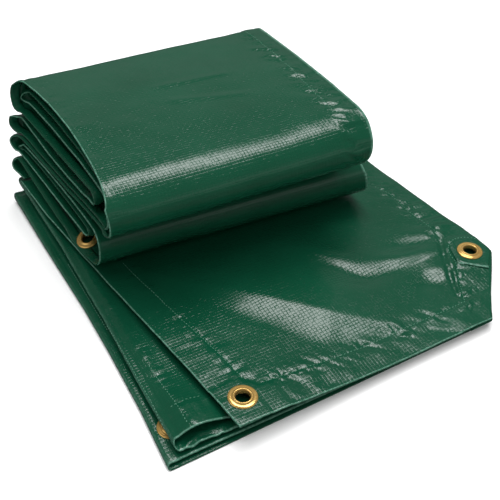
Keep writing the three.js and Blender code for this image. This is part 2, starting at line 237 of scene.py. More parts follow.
# The stack's folds
stack = dict(
    leafColumns="name zFront zMiddle zBack yFront yBack drawnIn bulge flare rows",
    leaves=[
        # heights, where the straight part starts and ends, and the bulge and flare of the bend that follows
        ("tuckedEnd", 125, 122, 124, 8, 180, 3, 6, 5, 22),
        ("innerRoof", 119, 111.5, 113, -6, 180, 3, 16, 0, 26),
        ("hollowFloor", 90.5, 76, 78.5, -2, 187, 2, 12, 7, 24),
        ("nestedLower", 93.5, 85, 95, 30, 187, 1, 12, 0, 24),
        ("nestedUpper", 107, 98.5, 101, 25, 186, 0, 15, 5, 24),
        ("topFace", 131.5, 134, 132.5, 8, 186, 0, 31, 0, 76),
        ("rollFloor", 86.5, 71.5, 74, -6, 188, 1, 11, 5, 26),
        ("lowerInner", 48, 50, 58, 45, 188, 1, 8, 0, 22),
        ("lowerNested", 58, 60.5, 64, 41, 180, 2, 4, 3, 22),
        ("lowerRoof", 68, 67, 69, 22, 180, 1, 24, 0, 26),
        ("lowerFloor", 25, 34.5, 51, 40, 186, 0, 10, 2, 24),
        ("flapRoot", 35.4, 35.4, 35.6, 172, 186, 0, 0, 0, 4),
    ],
    bendRows={"topFace": 48, "lowerRoof": 32, "innerRoof": 16},
    otherBendRows=12,
    height=135,
    leftFoot=-191, leftLean=0.237, leftFront=-163, leftFrontLean=0.03, leftDrawn=11, leftRoundness=0.55,
    rightTop=98, rightLean=0.13, rightDrawn=0.5, rightUndercut=0.42, rollFrom=66, rollTo=82,
    endBack=190, frontTop=-30, frontFoot=30,
    skewFrom=-155, skewBack=-0.053, skewFrontTop=-0.033, skewFrontFoot=-0.12,
    sag=1.5,
    nominal=262, margin=60,        # width of the cloth, and how near an edge the hem counts
)


def forwardPart(y, z):
    front = mix(stack["frontFoot"], stack["frontTop"], z / stack["height"])
    return clamp01((stack["endBack"] - y) / (stack["endBack"] - front))


def stackLeft(y, z):
    forward = forwardPart(y, z)
    back = stack["leftFoot"] + stack["leftLean"] * z
    front = stack["leftFront"] + stack["leftFrontLean"] * z
    drawn = stack["leftDrawn"] * (z / stack["height"]) * math.sin(math.pi * forward) ** stack["leftRoundness"]
    return mix(back, front, forward) + drawn


def stackRight(y, z):
    rolled = smooth((z - stack["rollFrom"]) / (stack["rollTo"] - stack["rollFrom"])) * forwardPart(y, z) ** 2
    lean = stack["rightLean"] - stack["rightUndercut"] * rolled
    return stack["rightTop"] - stack["rightDrawn"] * rolled + lean * (stack["height"] - z)


def stackSection():  # the stack's cloth from the side, as a line of points with what each one lies on
    line = []
    leaves = [dict(zip(stack["leafColumns"].split(), row)) for row in stack["leaves"]]
    for i, leaf in enumerate(leaves):
        toBack = i % 2 == 0
        for k in range(leaf["rows"] + 1):
            s = k / leaf["rows"] if toBack else 1 - k / leaf["rows"]
            line.append(dict(
                leaf=leaf["name"], drawnIn=leaf["drawnIn"], flare=0, bend=0,
                y=mix(leaf["yFront"], leaf["yBack"], s),
                z=throughThree(leaf["zFront"], leaf["zMiddle"], leaf["zBack"], s)))
        if leaf is leaves[-1]:
            break
        following = leaves[i + 1]
        end, way = ("Back", 1) if toBack else ("Front", -1)
        steps = stack["bendRows"].get(leaf["name"], stack["otherBendRows"])
        for k in range(1, steps):
            t = k / steps
            bend = way * math.sin(math.pi * t)
            line.append(dict(
                leaf=leaf["name"], drawnIn=mix(leaf["drawnIn"], following["drawnIn"], t), bend=bend,
                flare=leaf["flare"] * math.sin(math.pi * t),
                y=mix(leaf["y" + end], following["y" + end], t) + leaf["bulge"] * bend,
                z=mix(leaf["z" + end], following["z" + end], (1 - math.cos(math.pi * t)) / 2)))
    arc = 0
    for i, row in enumerate(line):
        before, after = line[max(0, i - 1)], line[min(len(line) - 1, i + 1)]
        dy, dz = after["y"] - before["y"], after["z"] - before["z"]
        length = math.hypot(dy, dz)
        row["out"] = Vector((0, dz / length, -dy / length))
        if i:
            arc += math.hypot(row["y"] - line[i - 1]["y"], row["z"] - line[i - 1]["z"])
        row["arc"] = arc
    return line


stackLook = dict(
    swells=[(wave, 0.7, 70, 50, 1), (wave, 0.22, 19, 15, 2)],
    edgeLine=5.5, edgeLineDepth=0.4, edgeLineWidth=1.3,    # pressed along the left ends, this far in
    # crinkles along the pressed line of the left ends, where the shader also paints pale flecks as highlights
    edgeCrinkleGlint=0.75, edgeCrinkleGlintReach=5,
    edgeWaver=[(wave, 1.0, 21, 1, 3)], edgeWaverReach=16,
    edgeRipples=[(wave, 0.35, 5, 16, 4)], edgeRipplesIn=6, edgeRipplesReach=7,
    crumple=[(crease, 2.6, 13, 9, 5)], crumpleReach=14,     # at the open ends of the bends at the back
    topSeamIn=22, topSeamStrength=1.4, topSeamSlant=0.6,    # the stitched line on the top face's right
    hemRipples=[(wave, 0.55, 5, 25, 7), (crease, 0.5, 12, 30, 8)],
    hemLineIn=5, hemLineDepth=0.45, hemLineWidth=1.3,
    wrinkles=[([(-60, 118), (-43, 117), (12, 113), (30, 110)], 0.7),
              ([(-58, 90), (-44, 87), (15, 71), (34, 64)], 0.6)],
    wrinkleWidth=4, wrinkleLength=88,
    eyeletCalm=26, eyeletFade=10, eyeletLean=0.36,          # the leaf leans to the left under the eyelet
)


def stackRelief(row, x, dLeft, dRight):
    look, arc = stackLook, row["arc"]
    fromLine = dLeft - look["edgeLine"]
    height = ripples(look["swells"], x, arc)
    worked = look["edgeCrinkleGlint"] * hump(fromLine, look["edgeCrinkleGlintReach"])
    height -= look["edgeLineDepth"] * hump(fromLine, look["edgeLineWidth"])
    height += ripples(look["edgeWaver"], arc, 3) * hump(dLeft, look["edgeWaverReach"])
    height += (ripples(look["edgeRipples"], arc, dLeft)
               * hump(dLeft - look["edgeRipplesIn"], look["edgeRipplesReach"]))
    if row["bend"] > 0:      # bends at the back
        near = row["bend"] * math.exp(-max(0, dLeft) / look["crumpleReach"])
        height += near * ripples(look["crumple"], arc, dLeft)
        worked += 0.4 * near
    if row["leaf"] in ("nestedUpper", "topFace"):
        seamHeight, seamWorked = seamRelief(dRight - look["topSeamIn"], arc, 6,
                                            look["topSeamStrength"], look["topSeamSlant"])
        inHem = smooth((look["topSeamIn"] - dRight) / seam["fade"]) * smooth(dRight / 5)
        height += seamHeight + inHem * ripples(look["hemRipples"], arc, dRight)
        height -= look["hemLineDepth"] * hump(dRight - look["hemLineIn"], look["hemLineWidth"])
        worked += seamWorked + 0.45 * inHem
    if row["leaf"] == "topFace" and row["bend"] == 0:
        for line, lift in look["wrinkles"]:
            off, along = nearLine(line, x, row["y"])
            ends = smooth(along / 15) * smooth((look["wrinkleLength"] - along) / 15)
            height += lift * hump(off, look["wrinkleWidth"]) * ends
    return height, worked


seam = dict(
    groove=0.9, grooveWidth=1.3,
    pitch=3.3,                     # length of one stitch
    pucker=1.1, puckerPitch=4.3, puckerReach=9,
    fade=4,                        # a hem's ripples grow from its seam and its edge over this
)


def seamRelief(off, along, seed, strength=1.0, slant=0.0):  # how a stitched line pulls at its cloth
    dimple = 0.7 + 0.3 * math.cos(2 * math.pi * along / seam["pitch"])
    near = hump(off, seam["puckerReach"])
    pulled = along + slant * off
    pucker = wave(pulled / seam["puckerPitch"], off / 26, seed)
    pucker += 0.5 * crease(pulled / 11, off / 20, seed + 1)
    height = -seam["groove"] * dimple * hump(off, seam["grooveWidth"]) + seam["pucker"] * near * pucker
    return strength * height, strength * near


section = stackSection()


def stackPlace(c, row):
    atRight = c > stack["nominal"] - stack["margin"]
    inward, hem = turnedEdge(c, stackLook["edgeLine"]) if c < stack["margin"] else (c, 0)
    fromRight, turnedRight = turnedEdge(stack["nominal"] - c, stackLook["topSeamIn"])
    left = stackLeft(row["y"], row["z"]) + row["drawnIn"] - row["flare"]
    right = stackRight(row["y"], row["z"])
    x = acrossSheet(inward, stack["nominal"], left, right)
    if atRight:
        x, hem = right - fromRight, turnedRight
    across = clamp01((x - left) / (right - left))
    forward = forwardPart(row["y"], row["z"])
    level = row["z"] / stack["height"]
    shift = mix(stack["skewBack"], mix(stack["skewFrontFoot"], stack["skewFrontTop"], level), forward)
    middle = Vector((x, row["y"] + shift * (x - stack["skewFrom"]),
                     row["z"] - stack["sag"] * level * forward * math.sin(math.pi * across)))
    height, worked = stackRelief(row, x, inward, fromRight)
    if row["leaf"] == "lowerFloor":
        dx, dy = x - eyeletAt["stackEdge"][0], middle.y - eyeletAt["stackEdge"][1]
        near = smooth((stackLook["eyeletCalm"] - math.hypot(dx, dy)) / stackLook["eyeletFade"])
        height *= 1 - near
        middle.z += stackLook["eyeletLean"] * dx * near
    edge = max(rimOf(c), rimOf(stack["nominal"] - c))
    return middle + row["out"] * (height + hem), (x, row["arc"]), worked, edge


stackColumns = turnedSpots(9) + spaced((0, 1.2, 0.6), (1.2, 12, 1.35), (12, 40, 2.4),
                                       (40, stack["nominal"] - 40, 4.6),
                                       (stack["nominal"] - 40, stack["nominal"], 2.5))
stackColumns += [stack["nominal"] - d for d in reversed(turnedSpots(6))]

# The base's layers
base = dict(
    layers=[
        # height at front left and right, middle left and right, back, and where its front edge lies
        ("floorLayer", 0.9, 0.9, 0.9, 0.9, 0.9, -190, -190),
        ("floorRoof", 4.75, 3.3, 4.4, 4, 11, -187, -190),
        ("tubeFloor", 8.7, 5.7, 8.4, 7, 19, -184, -190),
        ("tubeRoof", 11.4, 8.1, 12.4, 10, 28, -176, -186),
        ("flap", 21, 10.8, 18.5, 14.5, 34, -195, -195),
    ],
    back=186, middle=20,
    floorLeft=[(-190, -187.5), (-130, -184), (-60, -182.5), (0, -182.5), (90, -185.5), (190, -188)],
    tubeLeft=[(-190, -177.5), (-130, -177), (-30, -174), (80, -174), (190, -180)],
    flapLeft=[(-198, -132), (-125, -140), (-53, -150), (32, -162), (120, -176), (190, -184)],
    right=[(-195, 119), (-186, 126), (-128, 177), (-81, 175), (-34, 171), (45, 163), (190, 148)],
    foldBulge=2, floorInset=5,
    foldCloth=8, foldOut=1.2,        # the flap's right fold: cloth in its turn, and how far it bulges
    mouthX=-156, mouthWidth=22, mouthHeight=9.5, mouthDepth=90,
    cornerX=157, cornerY=-120, cornerRadius=44, cornerHeight=2.6,
    nominal=300, nominalDepth=376, margin=60,
    weaveShift=13,                   # how far the threads are out of line from one layer to the next
    skewFrom=120, skewLength=66, skewX=60,
)


def layerZ(index, across, y):
    name, zFL, zFR, zML, zMR, zBack, yFL, yFR = base["layers"][index]
    front = mix(zFL, zFR, smooth(across * 1.6))
    middle = mix(zML, zMR, across)
    plain = mix(front, middle, smooth((y - yFL) / (base["middle"] - yFL)))
    return mix(plain, zBack, clamp01((y - base["middle"]) / (base["back"] - base["middle"])) ** 1.6)


def mouthLift(x, y):  # the tube's roof stands open at its left front corner
    near = 1 - smooth((y + 190) / base["mouthDepth"])
    return base["mouthHeight"] * hump(x - base["mouthX"], base["mouthWidth"]) * near


flap = dict(
    fold=[(-150, 36), (-95, -34), (-52, -75), (-5, -124), (40, -162), (60, -176)],
    # how far the cloth slopes down from the fold, at distances along it
    foldReach=[(0, 5), (89, 14), (149, 26), (217, 36), (276, 14), (300, 4)],
    foldSlope=0.16, foldFar=60,
    # an edge as a line of points, the width of its slope and its height
    toes=[([(11, -33), (19, -46), (54, -102), (112, -107)], 15, 0.8), ([(104, -86), (150, -89)], 10, 0.5)],
    toeReach=2.6, toeEnd=20,
    facets=[
        # middle, half length and width, heading, tilt and the way it faces
        (36, -70, 34, 14, -58, 11, 205), (84, -98, 34, 12, -4, 12, 222), (128, -80, 26, 10, -3, 12, 226),
        (110, -129, 15, 11, 20, 13, 232), (60, 10, 60, 22, -10, 2, 190),
    ],
    swells=[(wave, 0.55, 60, 42, 11), (wave, 0.2, 21, 15, 12)],
    leftHem=[(wave, 0.22, 3.2, 45, 17), (crease, 0.16, 14, 40, 18)],
    rightHem=[(wave, 0.35, 4.2, 22, 20), (crease, 0.4, 13, 24, 21)],
    edgeWaver=0.5, edgeWaverReach=10,
    frontSeam=[(-91, -164), (-71, -165.5), (-29, -168), (70, -168), (111, -168)],
    leftSeam=[(-150, 100), (-136, 20), (-128, -26), (-121, -68), (-113, -109), (-108, -140), (-107, -157)],
    rightSeam=[(134, 60), (141, 7), (147, -9), (147, -23), (146, -44), (148, -59), (148, -74), (145, -90)],
    rightSeamEnd=-92, rightHemEnd=-98,
    bandSeam=[(138, -123), (124, -145), (111, -168)],
    # seed, strength and slant of the puckers beside each seam
    pulls=dict(frontSeam=(13, 1.2, 0.7), leftSeam=(15, 0.7, 0), rightSeam=(19, 1.2, -0.9),
               bandSeam=(24, 1.3, 0)),
    frontHemFrom=-194, frontHemTo=-170, frontHemLeft=-95,
    creases=[([(145, -90), (128, -121), (116, -147), (110, -165)], -1.6),
             ([(150, -93), (134, -120), (125, -139), (111, -163)], 1.1)],
    creaseWidth=2.6, creaseLength=88,
    chamfer=[(119, -195), (177, -128)],
    cornerStep=[(-128, -153), (-117, -152), (-107, -154), (-102, -161), (-96, -167),
                (-88, -171), (-84, -200)],
    stepHeight=0.9, stepRight=-70, stepFront=-185,
    rightRidges=[-41, -54, -68, -81],          # where the right hem stands up in ridges
    ridgeHeight=1.1, ridgeWidth=3.2, ridgeLean=0.25,
    frontWrinkle=[([(36, -157), (46, -177)], 1.1), ([(46, -177), (35, -173), (36, -157)], -0.8)],
    calmSpots=[eyeletAt["flapCorner"], eyeletAt["cornerTab"]], calmReach=13.5,   # flat under the eyelets
)


def flapRelief(x, y, dLeft, dRight):
    fade = seam["fade"]
    height = ripples(flap["swells"], x, y)
    worked = 0.0
    off, along = nearLine(flap["fold"], x, y)
    reach = readRow(flap["foldReach"], along)
    profile = (1 - clamp01(-off / reach)) ** 1.35 if off < 0 else hump(off, flap["foldFar"])
    height += flap["foldSlope"] * reach * profile
    for line, width, lift in flap["toes"]:
        off, along = nearLine(line, x, y)
        rise = 1 - (1 - clamp01(off / width)) ** 2
        height += lift * rise * hump(off, flap["toeReach"] * width) * smooth(along / flap["toeEnd"])
    height += facet(x, y, flap["facets"])

    offSeam = {}
    for name, pull in flap["pulls"].items():
        offSeam[name], along = nearLine(flap[name], x, y)
        if name == "rightSeam" and y <= flap["rightSeamEnd"]:
            continue
        seamHeight, seamWorked = seamRelief(offSeam[name], along, *pull)
        height += seamHeight
        worked += seamWorked

    inLeft = smooth(dLeft / fade) * smooth(-(offSeam["leftSeam"] + 2) / fade)
    height += inLeft * ripples(flap["leftHem"], y, dLeft)
    worked += 0.45 * inLeft
    inRight = smooth(dRight / fade) * smooth((offSeam["rightSeam"] - 1) / fade)
    inRight *= smooth((y - flap["rightHemEnd"]) / 8)
    height += inRight * ripples(flap["rightHem"], y, dRight)
    for ridgeY in flap["rightRidges"]:
        across = y - ridgeY - flap["ridgeLean"] * dRight
        height += flap["ridgeHeight"] * inRight * hump(across, flap["ridgeWidth"])
    worked += 0.5 * inRight

    inFront = smooth((y - flap["frontHemFrom"]) / fade) * smooth((flap["frontHemTo"] - y) / fade)
    inFront *= smooth((x - flap["frontHemLeft"]) / 12)
    height += inFront * (0.3 * wave(x / 10, y / 50, 22) + 0.45 * crease(x / 24, y / 36 + x / 45, 23))
    worked += 0.4 * inFront
    for line, lift in flap["frontWrinkle"]:
        height += lift * hump(nearLine(line, x, y)[0], 2)

    bandOff = offSeam["bandSeam"]
    chamferOff, chamferAlong = nearLine(flap["chamfer"], x, y)
    inBand = smooth(bandOff / 3) * smooth((chamferOff - 1) / 5)
    rough = 0.5 * crease(chamferAlong / 7, chamferOff / 5, 25) * hump(bandOff - 6, 9)
    height += inBand * (rough + 0.25 * wave(chamferAlong / 9, chamferOff / 22, 26))
    worked += 0.6 * inBand
    for line, lift in flap["creases"]:
        off, along = nearLine(line, x, y)
        ends = smooth(along / 12) * smooth((flap["creaseLength"] - along) / 12)
        height += lift * hump(off, flap["creaseWidth"]) * ends
    for middleX, middleY in flap["calmSpots"]:
        height *= smooth((math.hypot(x - middleX, y - middleY) - flap["calmReach"]) / 7)

    stepOff, along = nearLine(flap["cornerStep"], x, y)
    onLeft = smooth((flap["stepRight"] - x) / 10)
    height += flap["stepHeight"] * smooth(0.5 - stepOff / 2.2) * onLeft
    worked += 0.5 * hump(stepOff, 3) * onLeft * smooth((y - flap["stepFront"]) / 8)
    return height, worked


def flapZ(x, y):
    left, right = readRow(base["flapLeft"], y), readRow(base["right"], y) - base["foldBulge"]
    away = math.hypot(x - base["cornerX"], y - base["cornerY"]) / base["cornerRadius"]
    return layerZ(4, clamp01((x - left) / (right - left)), y) + base["cornerHeight"] * math.exp(-away ** 4)


def backSkew(x):
    return stack["skewBack"] * (x - stack["skewFrom"])


def flapPlace(c, d):
    # c runs in X from the left hem, over the flap and round the right fold, and d back from the front edge
    dFront, turnedFront = turnedEdge(d, cloth["hemWidth"])
    y = base["layers"][4][6] + dFront
    if y > base["skewFrom"]:
        y += (y - base["skewFrom"]) / base["skewLength"] * backSkew(base["skewX"])
    left = readRow(base["flapLeft"], y)
    right = readRow(base["right"], y) - base["foldBulge"]
    dLeft, turnedLeft = turnedEdge(c, cloth["hemWidth"]) if c <= base["margin"] else (c, 0)
    edge = max(rimOf(c), rimOf(d))
    beyond = c - base["nominal"]
    if beyond > 0:     # round the right fold and back under, on the tube's roof
        top = flapZ(right, y) + flapRelief(right, y, 200, 0)[0]
        low = layerZ(3, 1, y)
        radius = (top - low) / 2
        turn = beyond / base["foldCloth"]
        spot = Vector((right - (beyond - base["foldCloth"]), y, low - turnedFront))
        if turn >= 1:
            return spot, (right + beyond, y), 0, 0
        angle = math.pi * turn
        spot.x = right + base["foldOut"] * radius * math.sin(angle)
        spot.z = (top + low) / 2 + (radius + turnedFront) * math.cos(angle)
        return spot, (right + beyond, y), 0.3, rimOf(d)
    x = acrossSheet(dLeft, base["nominal"], left, right)
    height, worked = flapRelief(x, y, x - left, right - x)
    reach = flap["edgeWaverReach"]
    waver = wave(x / 23, 0, 27) * hump(dFront, reach) + wave(y / 20, 0, 28) * hump(dLeft, reach)
    height += turnedLeft + turnedFront + flap["edgeWaver"] * waver
    return Vector((x, y, flapZ(x, y) + height)), (x, y), worked, edge


flapColumns = turnedSpots(18) + spaced((0, 1.2, 0.6), (1.2, 40, 1.6), (40, base["nominal"] - 46, 2.1),
                                       (base["nominal"] - 46, base["nominal"], 1.6),
                                       (base["nominal"], base["nominal"] + base["foldCloth"], 1.15),
                                       (base["nominal"] + base["foldCloth"], base["nominal"] + 30, 5))
flapRows = turnedSpots(24) + spaced((0, 1.2, 0.6), (1.2, 40, 1.6), (40, 235, 2.1), (235, 381, 7))

tubeLook = dict(
    pressedLine=3.6, floorLine=5.5, lineDepth=0.35, lineWidth=1.1,    # along the left folds
    puckerColumn=[(-168, 60), (-168, 20), (-164, -38), (-163, -99), (-163, -146), (-164, -183)],
    puckers=[(wave, 0.8, 3.4, 24, 36), (crease, 0.5, 8, 14, 37)], puckerReach=6,
    crest=1.1, crestReach=7,
    besidePuckers=[(wave, 0.3, 8, 50, 38)], besideReach=18,
    hemIn=27, hemSeamStrength=0.8,
    hemRipples=[(wave, 0.3, 6, 50, 40)],
    lipCrumple=1.5, lipAt=-160, lipReach=26, lipDepth=12,
    floorEdge=[(wave, 0.3, 4, 20, 42)], floorFront=[(wave, 0.3, 5, 16, 43)],
)


def layerEdge(index, side, y):
    if side:
        return readRow(base["right"], y) - (base["floorInset"] if index == 0 else base["foldBulge"])
    return readRow(base["floorLeft"] if index < 2 else base["tubeLeft"], y)


def layerRelief(index, x, y, dLeft, dFront):
    look = tubeLook
    height = 0.25 * wave(x / 40, y / 30, 31 + index)
    worked = 0.0
    if index == 3:
        off, along = nearLine(look["puckerColumn"], x, y)
        near = hump(off, look["puckerReach"])
        height += near * ripples(look["puckers"], along, off)
        worked += near
        height += look["crest"] * hump(off, look["crestReach"])
        height += ripples(look["besidePuckers"], along, off) * hump(off, look["besideReach"])
        height -= look["lineDepth"] * hump(dLeft - look["pressedLine"], look["lineWidth"])
        seamHeight, seamWorked = seamRelief(dFront - look["hemIn"], x, 39, look["hemSeamStrength"])
        height += seamHeight
        worked += seamWorked
        inHem = smooth(dFront / seam["fade"]) * smooth((24 - dFront) / 5)
        height += inHem * ripples(look["hemRipples"], x, dFront)
    if index == 2:
        lip = hump(dFront, look["lipDepth"]) * hump(x - look["lipAt"], look["lipReach"])
        height += look["lipCrumple"] * lip * (0.4 + crease(x / 9, dFront / 8, 41))
        worked += 0.7 * lip
    if index < 2:
        height -= look["lineDepth"] * hump(dLeft - look["floorLine"], look["lineWidth"])
        ticks = hump(dLeft - 7, 5)
        height += ticks * ripples(look["floorEdge"], y, dLeft)
        height += hump(dFront - 6, 7) * ripples(look["floorFront"], x, dFront)
        worked += 0.6 * (ticks + hump(dFront - 4, 6))
    return height, worked


def layerPoint(index, x, y):
    left, right = layerEdge(index, 0, y), layerEdge(index, 1, y)
    z = layerZ(index, clamp01((x - left) / (right - left)), y)
    return Vector((x, y, z + (mouthLift(x, y) if index == 3 else 0)))


def basePlace(column, d):
    # a column is a layer with a place across it, or a fold between two layers with a part of its turn
    kind, index, at = column
    dFront, turned = turnedEdge(d, cloth["hemWidth"])
    edge = rimOf(d)

    def spotOn(i, c):
        front = mix(base["layers"][i][6], base["layers"][i][7], clamp01(c / base["nominal"]))
        y = front + dFront * (base["back"] - front) / base["nominalDepth"]
        x = acrossSheet(c, base["nominal"], layerEdge(i, 0, y), layerEdge(i, 1, y))
        y += backSkew(x) * smooth((y - 100) / 86)
        height, worked = layerRelief(i, x, y, c, dFront)
        hem = -turned if i == 0 else turned     # the lowest layer's good side is down
        spot = layerPoint(i, x, y)
        spot.z = max(spot.z + height + hem, cloth["thickness"] / 2)
        return spot, worked

    if kind == "layer":
        spot, worked = spotOn(index, at)
        return spot, (spot.x + index * base["weaveShift"], spot.y), worked, edge
    side = 0 if kind == "leftFold" else base["nominal"]
    (low, lowWorked), (high, highWorked) = spotOn(index, side), spotOn(index + 1, side)
    spot = low.lerp(high, at)
    spot.z = mix(low.z, high.z, (1 - math.cos(math.pi * at)) / 2)
    bow = math.sin(math.pi * at)
    spot.x += (1 if side else -1) * base["foldBulge"] * bow
    worked = mix(lowWorked, highWorked, at)
    # the bulge of each fold gets part of the rim's painted highlight
    return spot, (spot.x + index * base["weaveShift"], spot.y), worked, max(edge, 0.35 * bow)


def baseColumns():
    inner = spaced((0, 8, 1.3), (8, 30, 2), (30, 74, 2.6), (74, base["nominal"] - 26, 10),
                   (base["nominal"] - 26, base["nominal"], 4))
    folds = [k / 7 for k in range(1, 7)]
    found = [("layer", 0, c) for c in reversed(inner)]
    found += [("leftFold", 0, t) for t in folds]
    found += [("layer", 1, c) for c in inner]
    found += [("rightFold", 1, t) for t in folds]
    found += [("layer", 2, c) for c in reversed(inner)]
    found += [("leftFold", 2, t) for t in folds]
    return found + [("layer", 3, c) for c in inner]


baseRows = turnedSpots(9) + spaced((0, 10, 1.3), (10, 44, 2), (44, 200, 2.3),
                                   (200, base["nominalDepth"], 8))

print("folds worked out")


def tarpMaterial():
    green = bpy.data.materials.new("coatedTarpCloth")
    green.use_nodes = True
    nodes, links = green.node_tree.nodes, green.node_tree.links
    shader = nodes["Principled BSDF"]
    look = dict(
        # deep and light are the cloth's own greens, pale is the colour of the painted highlights
        deep=(0.0025, 0.046, 0.022, 1), light=(0.004, 0.060, 0.030, 1), pale=(0.2, 0.42, 0.32, 1),
        thread=0.0031, weaveLift=0.000105, threadLift=0.000022, crinkleLift=0.0003, dentLift=0.0009,
        gloss=0.15, glossSpread=0.08,
        # scale and detail of the noises
        patches=(14, 4), dents=(55, 3), grains=(420, 3), crinkles=(210, 3, "RIDGED_MULTIFRACTAL"),
    )

    def arithmetic(operation, *values):
        node = nodes.new("ShaderNodeMath")
        node.operation = operation
        for socket, value in zip(node.inputs, values):
            if isinstance(value, (int, float)):
                socket.default_value = value
            else:
                links.new(value, socket)
        return node.outputs[0]

    def noiseTexture(scale, detail, kind="FBM"):
        node = nodes.new("ShaderNodeTexNoise")
        node.noise_type = kind
        node.inputs["Scale"].default_value = scale
        node.inputs["Detail"].default_value = detail
        links.new(place.outputs["Object"], node.inputs["Vector"])
        return node.outputs["Fac"]

    def blend(amount, first, second):
        node = nodes.new("ShaderNodeMix")
        node.data_type = "RGBA"
        links.new(amount, node.inputs[0])
        for socket, value in ((node.inputs[6], first), (node.inputs[7], second)):
            if isinstance(value, tuple):
                socket.default_value = value
            else:
                links.new(value, socket)
        return node.outputs[2]

    def bump(height, distance, strength, under=None):
        node = nodes.new("ShaderNodeBump")
        node.inputs["Distance"].default_value = distance
        if isinstance(strength, (int, float)):
            node.inputs["Strength"].default_value = strength
        else:
            links.new(strength, node.inputs["Strength"])
        links.new(height, node.inputs["Height"])
        if under:
            links.new(under, node.inputs["Normal"])
        return node.outputs[0]

    # plain weave under the coating: flat-topped cells with narrow grooves, over and under by turns
    uvMap = nodes.new("ShaderNodeUVMap")
    uvMap.uv_map = "clothUV"
    parts = nodes.new("ShaderNodeSeparateXYZ")
    links.new(uvMap.outputs[0], parts.inputs[0])
    cells, sides = [], []
    for axis in range(2):
        counted = arithmetic("DIVIDE", parts.outputs[axis], look["thread"])
        cells.append(arithmetic("FLOOR", counted))
        sides.append(arithmetic("ABSOLUTE", arithmetic("MULTIPLY_ADD", arithmetic("FRACT", counted), 2, -1)))
    over = arithmetic("PINGPONG", arithmetic("ADD", *cells), 1)
    tops = []
    for across, length in ((0, 1), (1, 0)):
        rounded = arithmetic("SUBTRACT", 1, arithmetic("POWER", sides[across], 4))
        flattened = arithmetic("SUBTRACT", 1, arithmetic("POWER", sides[length], 7))
        tops.append(arithmetic("MULTIPLY", rounded, flattened))
    weave = arithmetic("ADD", arithmetic("MULTIPLY", over, tops[0]),
                       arithmetic("MULTIPLY", arithmetic("SUBTRACT", 1, over), tops[1]))
    cell = nodes.new("ShaderNodeCombineXYZ")
    for axis in range(2):
        links.new(cells[axis], cell.inputs[axis])
    uneven = nodes.new("ShaderNodeTexWhiteNoise")
    uneven.noise_dimensions = "2D"
    links.new(cell.outputs[0], uneven.inputs["Vector"])
    weave = arithmetic("MULTIPLY", weave, arithmetic("MULTIPLY_ADD", uneven.outputs["Value"], 0.7, 0.3))
    streak = nodes.new("ShaderNodeTexWhiteNoise")
    streak.noise_dimensions = "1D"
    links.new(cells[0], streak.inputs["W"])

    worked = nodes.new("ShaderNodeAttribute")
    worked.attribute_name = "worked"
    rim = nodes.new("ShaderNodeAttribute")
    rim.attribute_name = "rim"
    place = nodes.new("ShaderNodeTexCoord")
    patches = noiseTexture(*look["patches"])
    dents = noiseTexture(*look["dents"])
    grains = noiseTexture(*look["grains"])
    crinkles = noiseTexture(*look["crinkles"])

    shade = blend(arithmetic("MULTIPLY_ADD", patches, 1.6, -0.35), look["deep"], look["light"])
    # pale flecks on crinkle ridges in crumpled places and pale lines along the hem rims are painted
    # highlights
    ridges = arithmetic("MAXIMUM", arithmetic("SUBTRACT", crinkles, 1.15), 0)
    paintedCrinkleGlints = arithmetic("MULTIPLY", ridges, worked.outputs["Fac"])
    paintedRimHighlight = arithmetic("MULTIPLY", rim.outputs["Fac"], arithmetic("MULTIPLY_ADD", grains, 1.3, -0.25))
    crinkleAndPaintedGlint = arithmetic("MINIMUM", arithmetic("ADD", arithmetic("MULTIPLY", paintedCrinkleGlints, 0.6), paintedRimHighlight), 0.8)
    links.new(blend(crinkleAndPaintedGlint, shade, look["pale"]), shader.inputs["Base Color"])
    roughness = arithmetic("MULTIPLY_ADD", patches, look["glossSpread"], look["gloss"])
    links.new(roughness, shader.inputs["Roughness"])

    soft = bump(dents, look["dentLift"], 0.3)
    threads = bump(streak.outputs["Value"], look["threadLift"], 1, soft)
    woven = bump(weave, look["weaveLift"], 1, threads)
    crumpled = arithmetic("MULTIPLY_ADD", worked.outputs["Fac"], 0.9, 0.02)
    creased = bump(crinkles, look["crinkleLift"], crumpled, woven)
    links.new(creased, shader.inputs["Normal"])
    shader.inputs["IOR"].default_value = 1.5
    return green


def brassMaterial():
    brass = bpy.data.materials.new("rolledBrass")
    brass.use_nodes = True
    nodes, links = brass.node_tree.nodes, brass.node_tree.links
    shader = nodes["Principled BSDF"]
    shader.inputs["Metallic"].default_value = 0.72
    place = nodes.new("ShaderNodeTexCoord")
    grain = nodes.new("ShaderNodeTexNoise")
    grain.inputs["Scale"].default_value = 420
    grain.inputs["Detail"].default_value = 3
    links.new(place.outputs["Object"], grain.inputs["Vector"])
    tint = nodes.new("ShaderNodeMix")
    tint.data_type = "RGBA"
    tint.inputs[6].default_value = (0.6, 0.35, 0.085, 1)
    tint.inputs[7].default_value = (0.86, 0.57, 0.2, 1)
    links.new(grain.outputs["Fac"], tint.inputs[0])
    links.new(tint.outputs[2], shader.inputs["Base Color"])
    gloss = nodes.new("ShaderNodeMapRange")
    gloss.inputs["To Min"].default_value = 0.15
    gloss.inputs["To Max"].default_value = 0.26
    links.new(grain.outputs["Fac"], gloss.inputs["Value"])
    links.new(gloss.outputs[0], shader.inputs["Roughness"])
    bumps = nodes.new("ShaderNodeBump")
    bumps.inputs["Strength"].default_value = 0.06
    bumps.inputs["Distance"].default_value = 0.0001
    links.new(grain.outputs["Fac"], bumps.inputs["Height"])
    links.new(bumps.outputs[0], shader.inputs["Normal"])
    return brass


